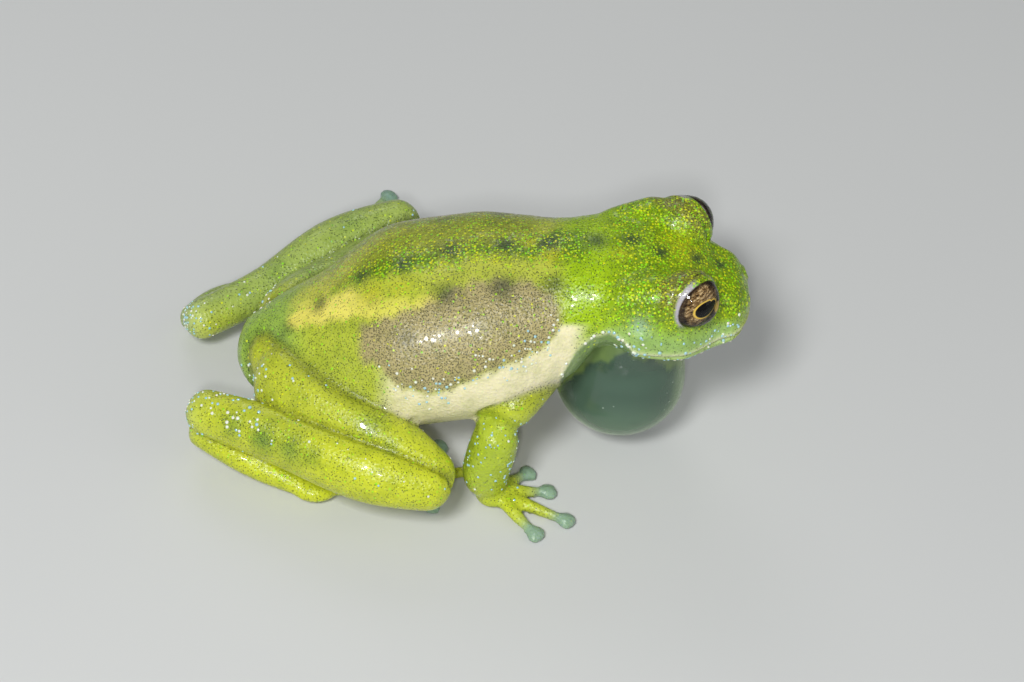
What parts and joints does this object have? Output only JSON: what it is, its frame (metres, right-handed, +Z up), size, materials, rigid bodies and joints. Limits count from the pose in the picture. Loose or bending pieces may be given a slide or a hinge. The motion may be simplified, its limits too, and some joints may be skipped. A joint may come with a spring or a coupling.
{
  "type": "glass frog",
  "caption": "Life-size glass frog at rest: flat broad head, raised eyes, swollen throat sac, folded hind legs and webbed feet with discs on the toes.",
  "frame": {"origin": "middle of the bounding box's base, on the floor the frog stands on", "axes": "+X towards the snout, +Y to the frog's left, +Z up"},
  "size_m": [0.026, 0.0236, 0.0122],
  "materials": {
    "skin": "moist translucent yellow-green frog skin",
    "sac_membrane": "thin moist see-through membrane",
    "eye": "wet glossy eyeball"
  },
  "bodies": {
    "root": {"trunk": "skin", "head": "skin", "vocal_sac": "sac_membrane", "eye_right": "eye", "arm_upper_right": "skin", "forearm_right": "skin", "hand_right": "skin", "thigh_right": "skin", "shank_right": "skin", "tarsus_right": "skin", "foot_right": "skin", "eye_left": "eye", "arm_upper_left": "skin", "forearm_left": "skin", "hand_left": "skin", "thigh_left": "skin", "shank_left": "skin", "tarsus_left": "skin", "foot_left": "skin"}
  },
  "joints": []
}
